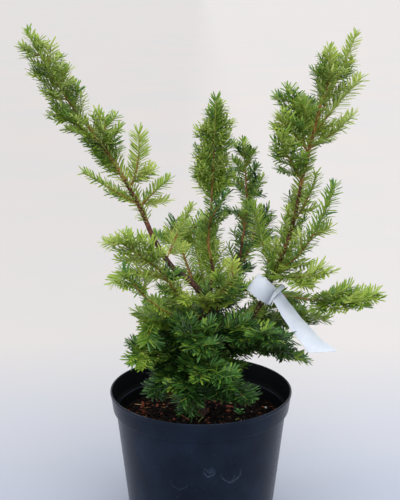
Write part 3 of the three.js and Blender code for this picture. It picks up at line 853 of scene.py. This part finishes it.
bark_old = mottle("bark_old", 0.85, 0.5, [(38, 22, 19), (68, 38, 31), (104, 66, 54)], 320, 0.6,
                  (1, 1, 0.35))
bark_red = mottle("bark_red", 0.75, 0.5, [(54, 28, 22), (92, 48, 34), (124, 74, 50)], 360, 0.4,
                  (1, 1, 0.4))
bark_orange = mottle("bark_orange", 0.6, 0.5, [(122, 72, 40), (154, 101, 52), (176, 130, 66)], 400, 0.2,
                     (1, 1, 0.4))
stem_green = mottle("stem_green", 0.5, 0.5, [(120, 134, 52), (150, 152, 66)], 200)
needle_materials = {
    tone: (material(f"needle_{tone}", above, 0.4, 0.3), material(f"needle_{tone}_under", below, 0.6, 0.2))
    for tone, (above, below) in TONES.items()
}


# Bark
def bark_relief(seed, depth, length):
    """A function that gives the height of the bark all over a limb."""
    def relief(parts, angles, rings):
        made = np.zeros_like(rings)
        for i, part in enumerate(parts):
            for j, angle in enumerate(angles):
                x, y, z = math.cos(angle) * BARK_GIRTH, math.sin(angle) * BARK_GIRTH, part * length
                ridges = noise.noise(Vector((x * RIDGES[1] + seed, y * RIDGES[1], z * RIDGES[2])))
                flakes = noise.noise(Vector((x * FLAKES[1], y * FLAKES[1] + seed, z * FLAKES[2])))
                knots = max(0, noise.noise(Vector((seed, x * KNOTS[1], z * KNOTS[2] + y))))
                made[i, j] = depth * (RIDGES[0] * ridges + FLAKES[0] * flakes + KNOTS[0] * knots)
        return made
    return relief


trunk_line = limbs["trunk"][0]
trunk_parts = np.linspace(0, 1, TRUNK_RINGS)
trunk_angles = np.arange(TRUNK_SIDES) * 2 * math.pi / TRUNK_SIDES
trunk_rings = np.array([[trunk_radius(trunk_line, part, angle) for angle in trunk_angles]
                        for part in trunk_parts])
vertices, faces, _ = tube(trunk_line, trunk_parts, trunk_rings, TRUNK_SIDES,
                          bark_relief(3, TRUNK_BARK, trunk_line.length), 0.6)
vertices[:, 2] = np.maximum(vertices[:, 2], SOIL_TOP + GAP)
finish_piece(new_object("trunk_bark", vertices, faces, [bark_old]), "bark", "trunk")

heap = Heap()
for seed, name in enumerate(BOUGHS):
    path, radii = limbs[name]
    parts = np.linspace(0, 1, math.ceil(path.length / BOUGH_STEP))
    vertices, faces, along = tube(path, parts, mix(*radii, parts), BOUGH_SIDES,
                                  bark_relief(10 + seed, BOUGH_BARK, path.length))
    heap.add(vertices, faces, np.digitize(along, LONG_BANDS if path.length > LONG_BOUGH else SHORT_BANDS))
heap.make("bough_bark", "bark", [bark_old, bark_red, bark_orange], *BOUGHS)

# The needled part of a bough has its bark already
heap = Heap()
for shoot in shoots:
    if shoot.level or shoot.mass not in BOUGHS:
        parts = np.linspace(0, 1, max(3, math.ceil(shoot.path.length / SHOOT_STEP)))
        radii = mix(*SHOOT_RADII[shoot.level], parts)
        vertices, faces, along = tube(shoot.path, parts, radii, SHOOT_SIDES[shoot.level])
        heap.add(vertices, faces, (along >= SHOOT_BROWN[shoot.level]).astype(int))
heap.make("twigs", "bark", [bark_orange, stem_green])


# Needles
def needle_block(roots, headings, uppers, lengths, widths, bends):
    """Needles of twelve faces: flat beneath, ridged above, and pointed at both ends."""
    sides = unit(np.cross(headings, uppers))
    count = len(roots)
    made = np.zeros((count, 8, 3))

    def centre(part):
        reach = (lengths * part)[:, None]
        return roots + headings * reach + uppers * (bends * lengths * part * part)[:, None]

    made[:, 0] = roots
    made[:, 7] = centre(1.0)
    for first, (part, wide) in zip((1, 4), NEEDLE_RINGS):
        middle = centre(part)
        half = (widths * wide / 2)[:, None]
        made[:, first] = middle + sides * half
        made[:, first + 1] = middle + uppers * half * NEEDLE_THICK * 2
        made[:, first + 2] = middle - sides * half
    pattern, kinds = [], []
    for i in range(3):
        j = (i + 1) % 3
        pattern += [(0, 1 + j, 1 + i), (1 + i, 1 + j, 4 + j), (1 + i, 4 + j, 4 + i), (4 + i, 4 + j, 7)]
        kinds += [0 if i < 2 else 1] * 4
    faces = np.arange(count)[:, None, None] * 8 + np.array(pattern)[None]
    return made.reshape(-1, 3), faces.reshape(-1, 3), np.tile(kinds, count)


chance = np.random.default_rng(5)
bundles = {tone: [] for tone in TONES}
box_low = np.array(cad_box[0]) / MM - BOX_MARGIN
box_high = np.array(cad_box[1]) / MM + BOX_MARGIN


def leaf_out(shoot):
    """Needles all round an upright shoot, and in two ranks that rise a little on a level one."""
    length = shoot.path.length
    bare = min(0.5, shoot.bare / length)
    count = max(4, int(length * (1 - bare) / NEEDLE_SPACING))
    step = np.arange(count)
    parts = bare + (1 - bare) * (step + 0.5 + PLACE_SPREAD * chance.uniform(-1, 1, count)) / count
    centres, tangents = shoot.path.at(parts), shoot.path.heading(parts)
    level = np.clip(RANKED[0] - RANKED[1] * np.abs(tangents[:, 2]), *RANKED_SPAN)
    upward = np.array(NEEDLE_UP)
    ups = upward - tangents * (tangents @ upward)[:, None]
    ups = unit(ups + np.array([0, 1e-3, 0]))
    sides = np.cross(tangents, ups)
    angles = GOLDEN * step + chance.uniform(-ANGLE_SPREAD, ANGLE_SPREAD, count)
    rank = np.where(np.cos(angles) > 0, 1, -1)
    out = ((1 - level) * np.cos(angles) + level * rank)[:, None] * sides
    out += (np.sin(angles) * (1 - RANK_FLAT * level) + RANK_RISE * level)[:, None] * ups
    out = unit(out)
    lean = mix(*NEEDLE_LEAN, parts) + chance.uniform(-LEAN_SPREAD, LEAN_SPREAD, count)
    lean = np.where(parts > TIP_FROM, lean + chance.uniform(0, TIP_SPREAD, count), lean)
    headings = out * np.cos(lean)[:, None] + tangents * np.sin(lean)[:, None]
    uppers = level[:, None] * ups + (1 - level)[:, None] * tangents
    uppers += TWIST_SPREAD * chance.normal(size=(count, 3))
    uppers = unit(uppers - headings * (uppers * headings).sum(1)[:, None])
    least, swell, start, span = LENGTH_SWELL
    sizes = least + swell * np.sin(math.pi * (start + span * parts))
    sizes *= chance.uniform(*LENGTH_SPAN, count) * (1.0 if shoot.level < 2 else FINE_LENGTH)
    lengths = NEEDLE_LENGTH * sizes * shoot.size
    widths = NEEDLE_WIDTH * chance.uniform(*WIDTH_SPAN, count)
    bends = chance.uniform(*BEND_SPAN, count)
    tips = centres + headings * lengths[:, None]
    keep = clears_solids(tips, NEEDLE_NEAR[0])
    keep &= clears_solids(mix(centres, tips, NEEDLE_MIDDLE), NEEDLE_NEAR[1])
    keep &= ((tips > box_low) & (tips < box_high)).all(axis=1)
    own = chance.choice(len(TONES), p=MIXES[shoot.tones])
    tones = np.clip(own + chance.choice([-1, 0, 1], count, p=TONE_DRIFT), 0, len(TONES) - 1)
    for i, bundle in enumerate(bundles.values()):
        chosen = keep & (tones == i)
        bundle.append([a[chosen] for a in (centres, headings, uppers, lengths, widths, bends)])


for shoot in shoots:
    leaf_out(shoot)

for tone, rows in bundles.items():
    joined = [np.concatenate(column) for column in zip(*rows)]
    for i in range(0, len(joined[0]), MOST_NEEDLES):
        vertices, faces, kinds = needle_block(*(a[i:i + MOST_NEEDLES] for a in joined))
        piece = new_object(f"needles_{tone}_{i // MOST_NEEDLES + 1}", vertices, faces,
                           list(needle_materials[tone]), kinds, smooth=False)
        finish_piece(piece, "foliage")
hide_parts(*masses)


# Pot
def lathe(profile, sides):
    """A closed ring of a profile about the pot's axis; points on the axis become one vertex."""
    profile = np.asarray(profile, float)
    angles = np.arange(sides) * 2 * math.pi / sides
    vertices, rows = [], []
    for radius, height in profile:
        if radius < 1e-6:
            rows.append([len(vertices)] * sides)
            vertices.append((0, 0, height))
        else:
            rows.append(list(range(len(vertices), len(vertices) + sides)))
            vertices += [(*polar(radius, angle), height) for angle in angles]
    faces = []
    for low, high in zip(rows, rows[1:]):
        for i in range(sides):
            j = (i + 1) % sides
            face = [low[i], low[j], high[j], high[i]]
            faces.append([v for k, v in enumerate(face) if v != face[k - 1]])
    return np.array(vertices), faces


def rounded(profile):
    """A profile of (radius, height, rounding), with each corner rounded by its own amount."""
    made = []
    for i, (x, y, size) in enumerate(profile):
        here = np.array([x, y], float)
        if i in (0, len(profile) - 1):
            made.append(here)
            continue
        ways = [np.array(profile[k][:2], float) - here for k in (i - 1, i + 1)]
        start, end = (here + way * min(size / np.linalg.norm(way), 0.45) for way in ways)
        for t in np.linspace(0, 1, CORNER_STEPS + 1):
            made.append(start * (1 - t) ** 2 + here * 2 * t * (1 - t) + end * t ** 2)
    return made


pot_profile = rounded([
    (0, 0, 0),
    (BASE_RADIUS, 0, 3.5),
    (SHOULDER_RADIUS, BAND_FOOT, 0.8),
    (BAND_FOOT_RADIUS, BAND_FOOT, 1.6),
    (LIP_RADIUS - 0.7, POT_HEIGHT - 4, 1.0),
    (LIP_RADIUS, POT_HEIGHT - 3, 0.8),
    (LIP_RADIUS, POT_HEIGHT, 1.2),
    (LIP_RADIUS - POT_WALL, POT_HEIGHT, 0.9),
    (BAND_FOOT_RADIUS - POT_WALL, BAND_FOOT + POT_WALL, 1.2),
    (SHOULDER_RADIUS - POT_WALL, BAND_FOOT - POT_WALL, 1.2),
    (BASE_RADIUS - POT_WALL, POT_FLOOR, 2),
    (0, POT_FLOOR, 0),
])
pot_plastic = mottle("pot_plastic", 0.27, 0.11, [(13, 20, 33), (18, 27, 41), (26, 37, 54)], 26, 0.2,
                     low=0.3, high=0.8, fine=420)
pot_inside = material("pot_inside", (11, 12, 15), 0.6, 0.05)


def water_mark(tree, where, centre, size, strength):
    """How strongly a pale line shows: the lower half of a ring about a point of the pot's front."""
    centre = [v * MM for v in centre]
    offset = wired(tree, "VectorMath", {0: where, 1: centre}, operation="SUBTRACT").outputs["Vector"]
    far = wired(tree, "VectorMath", {0: offset}, operation="LENGTH").outputs["Value"]
    off = figured(tree, "ABSOLUTE", figured(tree, "SUBTRACT", far, size * MM))
    line = ranged(tree, off, 0, MARK_WIDTH * MM, strength, 0)
    height = wired(tree, "SeparateXYZ", {"Vector": offset}).outputs["Z"]
    return figured(tree, "MULTIPLY", line, ranged(tree, height, -0.6 * size * MM, 0.3 * size * MM, 1, 0))


tree = pot_plastic.node_tree
base = tree.nodes["Principled BSDF"].inputs["Base Color"]
where = tree.nodes.new("ShaderNodeTexCoord").outputs["Object"]
ripples = wired(tree, "TexNoise", {"Vector": where, "Scale": 150, "Detail": 4})
shift = [v * MM for v in MARK_RIPPLE]
where = wired(tree, "VectorMath", {0: ripples.outputs["Color"], 1: shift, 2: where},
              operation="MULTIPLY_ADD").outputs["Vector"]
shown = 0.0
for mark in WATER_MARKS:
    shown = figured(tree, "MAXIMUM", water_mark(tree, where, *mark), shown)
tree.links.new(blended(tree, shown, base.links[0].from_socket, srgb(*MARK_COLOUR)), base)

vertices, faces = lathe(pot_profile, POT_SIDES)
row = np.arange(len(faces)) // POT_SIDES
inner = (row >= INSIDE_ROW) & ((row < EDGE_ROWS[0]) | (row > EDGE_ROWS[1]))
finish_piece(new_object("pot_shell", vertices, faces, [pot_plastic, pot_inside], inner), "pot", "pot")


def flake(centre, along, side, lift):
    """A closed lozenge of sixteen faces: a leaf, a chip, a bead or a drop, by its three half-sizes."""
    angles = np.arange(8) * math.pi / 4
    centre, along, side, lift = (np.asarray(v, float) for v in (centre, along, side, lift))
    rim = centre + np.cos(angles)[:, None] * along + np.sin(angles)[:, None] * side
    made = []
    for i in range(8):
        made += [(i, (i + 1) % 8, 8), ((i + 1) % 8, i, 9)]
    return np.vstack([rim, centre + lift, centre - lift]), np.array(made)


drop_chance = np.random.default_rng(3)
pot_drop = material("pot_drop", (20, 27, 42), 0.12)
heap = Heap()
for _ in range(DROPS):
    angle = drop_chance.uniform(0, 2 * math.pi)
    height = drop_chance.uniform(*DROP_HEIGHTS)
    radius = mix(BASE_RADIUS, SHOULDER_RADIUS, height / BAND_FOOT)
    out = np.array([*polar(1, angle), 0])
    size = drop_chance.uniform(*DROP_SIZES)
    high, wide, deep = (size * v for v in DROP_SHAPE)
    across = np.cross(out, (0, 0, 1)) * wide
    heap.add(*flake(out * radius + (0, 0, height), (0, 0, high), across, out * deep))
heap.make("pot_drops", "pot", [pot_drop])

# Soil
edge_height = SOIL_TOP - SOIL_EDGE_DROP
foot_radius = BASE_RADIUS - POT_WALL - 2 * GAP
edge_part = (edge_height - POT_FLOOR) / (BAND_FOOT - POT_WALL - POT_FLOOR)
edge_radius = mix(foot_radius, foot_radius + SHOULDER_RADIUS - BASE_RADIUS, edge_part)


def soil_height(x, y):
    """The soil's surface: nearly flat, lower by the wall, and crumbly."""
    radial = math.hypot(x, y)
    fall = SOIL_EDGE_DROP * min(1, max(0, (radial - SOIL_FLAT_RADIUS) / (edge_radius - SOIL_FLAT_RADIUS)))
    waves = sum(size * noise.noise(Vector((x * often, y * often, at))) for size, often, at in SOIL_WAVES)
    return SOIL_TOP - fall + waves * min(1, (edge_radius - radial) / WAVES_GROW + WAVES_LEAST)


bits = {name: material(name, *look) for name, look in BITS.items()}
bits["soil_dark"] = mottle("soil_dark", 0.95, 0.15, [(11, 8, 7), (24, 17, 14), (44, 31, 24)], 180, 1.2,
                           fine=600)
top_rings = [(edge_radius * (SOIL_RINGS - i) / SOIL_RINGS, edge_height) for i in range(SOIL_RINGS + 1)]
vertices, faces = lathe([(0, POT_FLOOR + GAP), (foot_radius, POT_FLOOR + GAP), *top_rings], SOIL_SIDES)
top = vertices[:, 2] > edge_height - 1
vertices[top, 2] = [soil_height(x, y) for x, y, _ in vertices[top]]
finish_piece(new_object("soil_top", vertices, faces, [bits["soil_dark"]]), "soil", "soil")

# Crumbs, chips and fibres lie on the soil
soil_chance = np.random.default_rng(11)
CUBE = np.array([(x, y, z) for x in (-1, 1) for y in (-1, 1) for z in (-1, 1)], float) / 2
CUBE_FACES = np.array([
    (0, 1, 3), (0, 3, 2), (4, 6, 7), (4, 7, 5), (0, 4, 5), (0, 5, 1),
    (2, 3, 7), (2, 7, 6), (0, 2, 6), (0, 6, 4), (1, 5, 7), (1, 7, 3)])


def turn_from(first, second, angle):
    """A matrix that turns one axis towards another."""
    made = np.eye(3)
    made[first, first] = made[second, second] = math.cos(angle)
    made[second, first] = math.sin(angle)
    made[first, second] = -math.sin(angle)
    return made


def random_turn(tilt):
    """A matrix that spins a thing about the vertical, and tilts it a little."""
    spin = soil_chance.uniform(0, 2 * math.pi)
    lift, roll = soil_chance.normal(0, tilt, 2)
    return turn_from(0, 1, spin) @ turn_from(2, 0, lift) @ turn_from(1, 2, roll)


def on_soil(reach, free):
    """A seeded place on the soil, spread evenly over a circle but for a share of it round its middle."""
    return polar(reach * math.sqrt(soil_chance.uniform(free, 1)), soil_chance.uniform(0, 2 * math.pi))


def scatter(name, count, spans, tilt, proud, looks):
    """Rough splinters or crumbs strewn over the soil, in some colours."""
    looks = looks.split()
    pile = Heap()
    for _ in range(count):
        x, y = on_soil(edge_radius - STREWN_INSET, STREWN_LEAST)
        if math.hypot(x - TRUNK_FOOT[0], y - TRUNK_FOOT[1]) < TRUNK_CLEARANCE:
            continue
        scale = np.array([soil_chance.uniform(*span) for span in spans])
        shape = CUBE * (1 + soil_chance.uniform(-STREWN_ROUGH, STREWN_ROUGH, CUBE.shape)) * scale
        shape = shape @ random_turn(tilt).T + (x, y, soil_height(x, y) + scale[2] * proud)
        pile.add(shape, CUBE_FACES, soil_chance.integers(len(looks)))
    pile.make(name, "soil", [bits[look] for look in looks], smooth=False)


for name, strewn in STREWN.items():
    scatter(name, *strewn)


def splint(heap, start, end, side, width, thick, kind=0):
    """A flat thing with pointed ends between two points."""
    along = (end - start) / 2
    lift = np.cross(side, unit(along))
    heap.add(*flake((start + end) / 2, along, side * width / 2, lift * thick / 2), kind)


def lay(heap, start, end, width, thick, look):
    """A chip or needle that lies on the soil between two points of its plan."""
    start, end = (np.array([*p, soil_height(*p) + rise]) for p, rise in zip((start, end), LYING_RISE))
    side = unit(np.cross((end - start) / 2, (0, 0, 1.0)))
    splint(heap, start, end, side, width, thick, LYING_LOOKS.index(look))


heap = Heap()
for start, end, width, look in LYING:
    lay(heap, start, end, width, LYING_THICK[0], look)
for i in range(FALLEN[0]):
    start = on_soil(*FALLEN[1:])
    turn, length = soil_chance.uniform(0, math.pi), soil_chance.uniform(*FALLEN_LENGTHS)
    end = np.add(start, polar(length, turn))
    if math.hypot(*end) < edge_radius - 3:
        lay(heap, start, end, FALLEN_WIDTH, LYING_THICK[1], "needle_dry" if i % 3 else "needle_old")
heap.make("fallen_bits", "soil", [bits[look] for look in LYING_LOOKS], smooth=False)

# Beads of perlite, and a seedling of round leaves by the rim
heap = Heap()
beads = [PERLITE_BEAD]
for _ in range(PERLITE[0]):
    beads.append((*on_soil(*PERLITE[1:]), soil_chance.uniform(*PERLITE_SIZES)))
for x, y, size in beads:
    centre = (x, y, soil_height(x, y) + BEAD_RISE)
    long, wide, high = (size * v for v in BEAD_SHAPE)
    heap.add(*flake(centre, (long, 0, 0), (0, wide, 0.2), (0, 0, high)))
heap.make("perlite_beads", "soil", [bits["perlite"]])

heap = Heap()
root = np.array([*SEEDLING_AT, soil_height(*SEEDLING_AT)])
for i in range(SEEDLING_LEAVES):
    out = np.array([*polar(1, i * GOLDEN), 0])
    end = root + out * (SEEDLING_OUT + SEEDLING_STEP * i) + (0, 0, SEEDLING_HEIGHT - SEEDLING_STEP * i)
    across = unit(np.cross((end - root) / 2, out + (0, 0, 0.1)))
    splint(heap, root, end, across, 2 * SEEDLING_STALK, 2 * SEEDLING_STALK)
    long, wide, thick = SEEDLING_LEAF
    along = unit(out + (0, 0, 0.25)) * long
    across = unit(np.cross(along, (0, 0, 1.0)))
    heap.add(*flake(end + along * 0.8, along, across * wide, np.cross(across, unit(along)) * thick))
heap.make("seedling", "soil", [bits["seedling_green"]])

# Label strip
paper = mottle("label_paper", 0.7, 0.2, [(207, 213, 226), (221, 225, 235)], 60, 0.05, fine=900)
ribbon_parts = np.arange(RIBBON_STEPS + 1) / RIBBON_STEPS
slit_at = ribbon_parts[np.linalg.norm(label_line.at(ribbon_parts) - TAIL_PATH[0], axis=1).argmin()]
sections = []
for part in ribbon_parts:
    middle, wide, thick = label_section(label_line, label_axis, part)
    spread = PINCH_SPREADS[0] if part < slit_at else PINCH_SPREADS[1]
    width = LABEL_WIDTH * (1 - PINCH * math.exp(-((part - slit_at) / spread) ** 2))
    sections.append([middle + wide * width * across + thick * lift for across, lift in STRIP_SECTION])
finish_piece(new_object("label_strip", *loft(sections), [paper]), "label", "label")

# The lip of the slit that the strip is drawn through
middle, _, thick = label_section(label_line, label_axis, slit_at)
along = label_line.heading(slit_at)
wide = unit(label_axis - along * np.dot(label_axis, along))
if thick[1] > 0:
    thick = -thick
sections = []
for part in np.arange(LIP_STEPS + 1) / LIP_STEPS:
    centre = middle + wide * LABEL_WIDTH * mix(*LIP_SPAN, part)
    centre = centre + thick * (LIP_RISE + LIP_BULGE * math.sin(math.pi * min(1, 0.1 + part)))
    half = mix(*LIP_HALF, min(1, 1.4 * part))
    sections.append([centre + along * half * across + thick * lift for across, lift in LIP_SECTION])
finish_piece(new_object("label_lip", *loft(sections), [paper]), "label")

# Floor, light and camera
floor_tint = material("floor", (214, 212, 214), 0.9)
tree = floor_tint.node_tree
where = tree.nodes.new("ShaderNodeTexCoord").outputs["Object"]
split = wired(tree, "SeparateXYZ", {"Vector": where})
away = ranged(tree, split.outputs["Y"], *FLOOR_FADE)
tints = blended(tree, away, srgb(*FLOOR_TINTS[0]), srgb(*FLOOR_TINTS[1]))
stains = wired(tree, "TexNoise", {"Vector": where, **FLOOR_STAINS})
dyed = blended(tree, 1, tints, ramped(tree, stains.outputs["Fac"], 0.3, 0.7, FLOOR_WASH), "MULTIPLY")
# Painted light: the floor's colour is made lighter towards the right, where the light falls
side = ranged(tree, split.outputs["X"], *PAINTED_LIGHT_SPAN)
painted_light = blended(tree, side, dyed, PAINTED_FLOOR_LIGHT, "MULTIPLY")
tree.links.new(painted_light, tree.nodes["Principled BSDF"].inputs["Base Color"])
half = FLOOR_SIZE / MM / 2
floor = new_object("floor", [(-half, -half, 0), (half, -half, 0), (half, half, 0), (-half, half, 0)],
                   [[0, 1, 2, 3]], [floor_tint])
floor.location.z = -FLOOR_SINK

world = bpy.data.worlds.new("sky")
bpy.context.scene.world = world
world.use_nodes = True
sky = world.node_tree
aim = sky.nodes.new("ShaderNodeTexCoord").outputs["Generated"]
split = wired(sky, "SeparateXYZ", {"Vector": aim})
strength = figured(sky, "MAXIMUM", ranged(sky, split.outputs["Y"], *SKY_BACK),
                   ranged(sky, split.outputs["Z"], *SKY_UP))
sky.nodes["Background"].inputs["Color"].default_value = SKY_COLOUR
sky.links.new(strength, sky.nodes["Background"].inputs["Strength"])


def add_lamp(name, kind, location, target, power, colour):
    lamp = bpy.data.lights.new(name, kind)
    lamp.energy = power
    lamp.color = colour
    made = bpy.data.objects.new(name, lamp)
    made.location = location
    made.rotation_euler = (Vector(target) - Vector(location)).to_track_quat("-Z", "Y").to_euler()
    bpy.context.scene.collection.objects.link(made)
    return lamp


add_lamp("overhead", "SUN", *SUN).angle = math.radians(SUN_ANGLE)
for name, window in WINDOWS.items():
    lamp = add_lamp(name, "AREA", *window)
    lamp.shape = "RECTANGLE"
    lamp.size, lamp.size_y = WINDOW_SIZE

lens = bpy.data.cameras.new("camera")
lens.lens = CAMERA_LENS
lens.sensor_width = SENSOR
lens.clip_start, lens.clip_end = 0.05, 200
camera = bpy.data.objects.new("camera", lens)
camera.location = [v * MM for v in CAMERA_AT]
camera.rotation_euler = (math.radians(90 - CAMERA_PITCH), 0, 0)
bpy.context.scene.collection.objects.link(camera)
bpy.context.scene.camera = camera
bpy.context.scene.view_settings.view_transform = "Standard"
